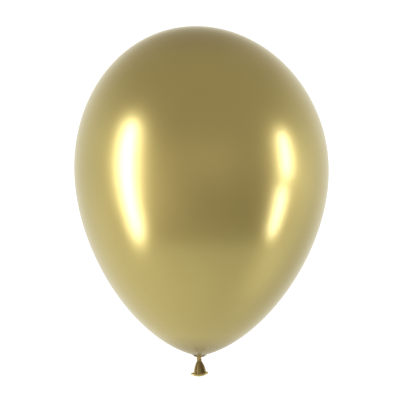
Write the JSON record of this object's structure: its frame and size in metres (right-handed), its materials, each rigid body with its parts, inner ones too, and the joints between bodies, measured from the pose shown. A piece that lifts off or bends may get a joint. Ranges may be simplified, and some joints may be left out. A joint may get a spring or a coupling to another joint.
{
  "type": "latex balloon",
  "caption": "Blown-up latex party balloon with a gathered neck, an overhand knot, a flared tail and a rolled lip; tie it by the neck.",
  "frame": {"origin": "the point on the long axis where the neck is pinched shut and a ribbon would be tied, level with the bottom of the blown-up skin", "axes": "+Z along the balloon's long axis from the knot to the crown, +X along the wide way of the flattened tail, +Y away from the viewer of the front"},
  "size_m": [0.28, 0.28, 0.3865],
  "materials": {
    "skin": "gloss",
    "gathered": "gloss",
    "slack": "gloss"
  },
  "bodies": {
    "skin": {"envelope": "skin"},
    "neck_folds": {"neck": "gathered"},
    "tied_knot": {"knot": "gathered"},
    "loose_tail": {"tail": "slack"},
    "lip": {"rolled_rim": "slack"}
  },
  "joints": [
    {"name": "neck_twist", "type": "hinge", "parent": "skin", "child": "neck_folds", "pos_m": [0, 0, 0.0012], "axis": [0, 0, 1], "range_deg": [-180, 180], "stiffness_Nm_per_rad": 0.0002},
    {"name": "knot_tilt", "type": "hinge", "parent": "neck_folds", "child": "tied_knot", "pos_m": [0, 0, -0.0006], "axis": [0, 1, 0], "range_deg": [-25, 25], "stiffness_Nm_per_rad": 0.001},
    {"name": "tail_tilt", "type": "hinge", "parent": "tied_knot", "child": "loose_tail", "pos_m": [0, 0, -0.00595], "axis": [1, 0, 0], "range_deg": [-60, 60], "stiffness_Nm_per_rad": 0.0005},
    {"name": "tail_stretch", "type": "slide", "parent": "loose_tail", "child": "lip", "axis": [0, 0, -1], "range_m": [0, 0.01], "stiffness_N_per_m": 10, "deforming": ["tail"]}
  ]
}
